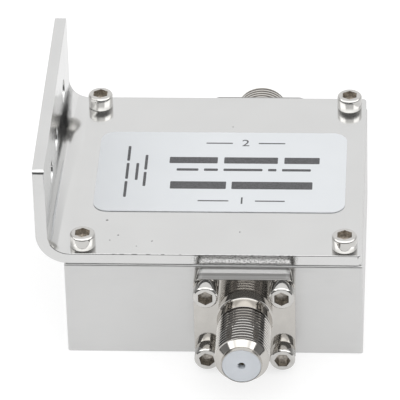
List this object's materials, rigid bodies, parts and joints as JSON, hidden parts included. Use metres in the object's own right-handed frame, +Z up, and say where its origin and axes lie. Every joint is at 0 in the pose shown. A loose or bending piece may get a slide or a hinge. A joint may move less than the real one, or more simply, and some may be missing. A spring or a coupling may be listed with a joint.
{
  "type": "coax lightning arrestor",
  "caption": "In-line surge protector for a coax cable: a milled aluminium box with a threaded coax port at each end, under an angled lid whose upright flange screws to a panel.",
  "frame": {"origin": "middle of the box's underside", "axes": "+Z up out of the lid, -Y out of the front port, +Y out of the rear port, -X towards the mounting flange"},
  "size_m": [0.0683, 0.0995, 0.0459],
  "materials": {
    "milled_aluminium": "fine milled, bright, satin",
    "rolled_aluminium": "bright plated sheet, half mirror",
    "silver_label": "silver grey film, smooth",
    "stainless_screw": "polished stainless steel",
    "nickel_plate": "bright nickel plate, slightly warm",
    "white_insulator": "pale blue-grey plastic",
    "gilt_contact": "gilt",
    "green_board": "green lacquered laminate",
    "white_ceramic": "white ceramic with bright end caps",
    "enamelled_wire": "copper wire under clear enamel",
    "brown_ceramic": "brown ceramic",
    "black_moulding": "black moulding"
  },
  "bodies": {
    "root": {"housing": "milled_aluminium", "lid_bracket": "rolled_aluminium", "label": "silver_label", "lid_screw_front_left": "stainless_screw", "lid_screw_front_right": "stainless_screw", "lid_screw_rear_left": "stainless_screw", "lid_screw_rear_right": "stainless_screw", "front_port_shell": "nickel_plate", "front_port_insulator": "white_insulator", "front_port_contact": "gilt_contact", "front_port_screw_lower_left": "stainless_screw", "front_port_screw_lower_right": "stainless_screw", "front_port_screw_upper_left": "stainless_screw", "front_port_screw_upper_right": "stainless_screw", "rear_port_shell": "nickel_plate", "rear_port_insulator": "white_insulator", "rear_port_contact": "gilt_contact", "rear_port_screw_lower_left": "stainless_screw", "rear_port_screw_lower_right": "stainless_screw", "rear_port_screw_upper_left": "stainless_screw", "rear_port_screw_upper_right": "stainless_screw", "circuit_board": "green_board", "board_screw_front_left": "stainless_screw", "board_screw_front_right": "stainless_screw", "board_screw_rear_left": "stainless_screw", "board_screw_rear_right": "stainless_screw", "gas_tube": "white_ceramic", "choke_coil_front": "enamelled_wire", "choke_coil_rear": "enamelled_wire", "coupling_capacitor_front": "brown_ceramic", "coupling_capacitor_rear": "brown_ceramic", "surge_diode_front": "black_moulding", "surge_diode_rear": "black_moulding"}
  },
  "joints": []
}
